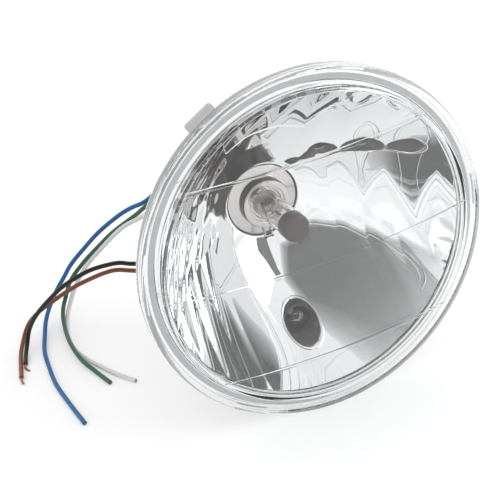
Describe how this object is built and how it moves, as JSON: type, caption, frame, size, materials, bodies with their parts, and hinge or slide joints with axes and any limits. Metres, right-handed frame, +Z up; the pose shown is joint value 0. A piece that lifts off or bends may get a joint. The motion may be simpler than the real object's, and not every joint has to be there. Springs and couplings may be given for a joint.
{
  "type": "round motorcycle headlight",
  "caption": "Round sealed headlight insert with a clear ribbed domed glass, a faceted mirror bowl, a halogen bulb, a small parking lamp and free leads.",
  "frame": {"origin": "on the optical axis, where the round edge of the glass flange begins", "axes": "the light leaves along -Y, +X is to the right seen from the front, +Z is up"},
  "size_m": [0.2287, 0.1961, 0.1791],
  "materials": {
    "clear_glass": "gloss",
    "black_rubber": "matte",
    "mirror": "polished",
    "plated_steel": "satin",
    "bulb_glass": "gloss",
    "dark_cap": "matte",
    "tungsten": "satin",
    "ceramic": "matte",
    "brass": "satin",
    "black_plastic": "matte",
    "blue_sheath": "satin",
    "green_sheath": "satin",
    "white_sheath": "satin",
    "black_sheath": "satin",
    "brown_sheath": "satin",
    "copper": "satin",
    "grey_sealant": "satin"
  },
  "bodies": {
    "root": {"lens": "clear_glass", "seal_bead": "grey_sealant", "reflector": "mirror", "bulb_ring": "plated_steel", "bulb_glass": "bulb_glass", "bulb_tip": "dark_cap", "bulb_stem": "bulb_glass", "low_filament": "tungsten", "high_filament": "tungsten", "beam_shield": "plated_steel", "filament_leads": "tungsten", "bulb_insulator": "ceramic", "top_blade": "brass", "left_blade": "brass", "right_blade": "brass", "bulb_clip": "plated_steel", "clip_screw": "plated_steel", "rubber_boot": "black_rubber", "connector": "black_plastic", "park_socket": "black_plastic", "park_contacts": "brass", "park_bulb": "bulb_glass", "park_filament": "tungsten", "park_base": "bulb_glass", "blue_lead": "blue_sheath", "green_lead": "green_sheath", "white_lead": "white_sheath", "black_lead": "black_sheath", "brown_lead": "brown_sheath", "black_copper": "copper", "brown_copper": "copper"}
  },
  "joints": []
}
